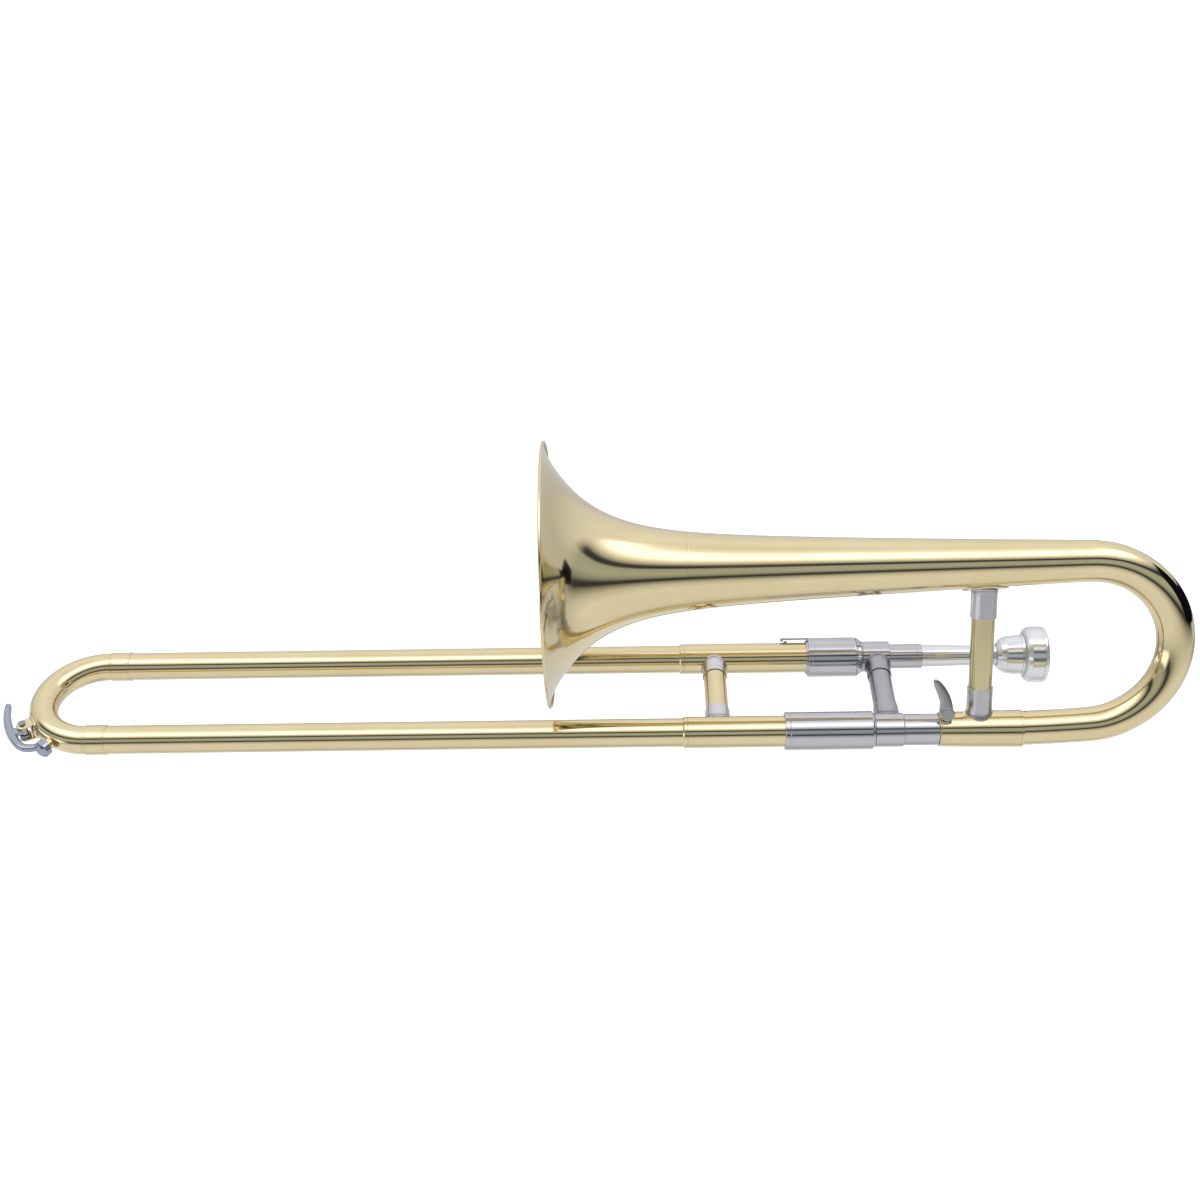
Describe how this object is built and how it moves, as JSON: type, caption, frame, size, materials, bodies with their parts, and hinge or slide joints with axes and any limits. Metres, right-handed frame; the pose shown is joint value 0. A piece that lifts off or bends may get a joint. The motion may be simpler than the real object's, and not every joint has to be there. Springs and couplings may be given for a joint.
{
  "type": "soprano trombone",
  "caption": "Small slide trombone: two-tube telescoping slide with a bow and water key, a bell section clamped beside it, and a cup mouthpiece.",
  "frame": {"origin": "on the axis of the slide's bell-side tube, where the hand brace meets it", "axes": "+X along the slide towards the player's mouth, +Z from the slide's bell-side tube up to the bell, +Y to the side that the mouthpiece-side tube leans to"},
  "size_m": [0.5618, 0.1232, 0.1478],
  "materials": {
    "lacquered_brass": "polished under clear lacquer",
    "nickel_silver": "polished nickel silver",
    "silver_plate": "silver plate on brass",
    "chrome": "bright chrome plate",
    "spring_steel": "plain steel",
    "cork": "bare cork"
  },
  "bodies": {
    "inner_slide": {"inner_slide_tube_lower": "chrome", "inner_slide_tube_upper": "chrome", "collar_lower": "nickel_silver", "collar_upper": "nickel_silver", "bumper_cork_lower": "cork", "bumper_cork_upper": "cork", "cork_barrel_lower": "nickel_silver", "cork_barrel_upper": "nickel_silver", "leadpipe": "lacquered_brass", "mouthpiece_receiver": "nickel_silver", "hand_brace_tube": "nickel_silver", "hand_brace_foot_lower": "nickel_silver", "hand_brace_foot_upper": "nickel_silver", "bell_tenon": "nickel_silver"},
    "outer_slide": {"outer_slide_tube_lower": "lacquered_brass", "outer_slide_tube_upper": "lacquered_brass", "bow_ferrule_lower": "lacquered_brass", "bow_ferrule_upper": "lacquered_brass", "grip_sleeve_lower": "lacquered_brass", "grip_sleeve_upper": "lacquered_brass", "slide_lock_catch": "nickel_silver", "slide_bow": "lacquered_brass", "slide_brace_tube": "lacquered_brass", "slide_brace_foot_lower": "nickel_silver", "slide_brace_foot_upper": "nickel_silver", "water_key_saddle": "lacquered_brass", "water_key_nipple": "lacquered_brass", "water_key_screw": "spring_steel", "water_key_spring": "spring_steel"},
    "water_key": {"water_key_lever": "chrome", "water_key_pad": "cork"},
    "slide_lock": {"slide_lock_sleeve": "nickel_silver", "lock_stop_stud": "silver_plate"},
    "bell_section": {"bell_flare": "lacquered_brass", "bell_stem": "lacquered_brass", "bell_bow": "lacquered_brass", "bell_socket": "lacquered_brass", "bell_brace_tube": "lacquered_brass", "bell_brace_foot_lower": "nickel_silver", "bell_brace_foot_upper": "nickel_silver", "bell_brace_plate": "lacquered_brass"},
    "clamp": {"clamp_screw": "nickel_silver"},
    "mouthpiece": {"mouthpiece": "silver_plate"}
  },
  "joints": [
    {"name": "main_slide", "type": "slide", "parent": "inner_slide", "child": "outer_slide", "axis": [-1, 0, 0], "range_m": [0, 0.295]},
    {"name": "water_key_hinge", "type": "hinge", "parent": "outer_slide", "child": "water_key", "pos_m": [-0.40874, 0.00673, 0.00283], "axis": [0, 0.3875, -0.9219], "range_deg": [0, 16], "stiffness_Nm_per_rad": 0.05, "springref_deg": -22.92},
    {"name": "slide_lock_turn", "type": "hinge", "parent": "inner_slide", "child": "slide_lock", "pos_m": [-0.02, 0.0484, 0.02034], "axis": [-1, 0, 0], "range_deg": [0, 24]},
    {"name": "bell_swivel", "type": "hinge", "parent": "inner_slide", "child": "bell_section", "pos_m": [0.04, 0, 0], "axis": [1, 0, 0], "range_deg": [-5, 40]},
    {"name": "clamp_screw_turn", "type": "hinge", "parent": "bell_section", "child": "clamp", "pos_m": [0.0264, 0, 0.0104], "axis": [0, 1, 0], "range_deg": [-45, 70]},
    {"name": "mouthpiece_pull", "type": "slide", "parent": "inner_slide", "child": "mouthpiece", "axis": [1, 0, 0], "range_m": [0, 0.05]}
  ]
}
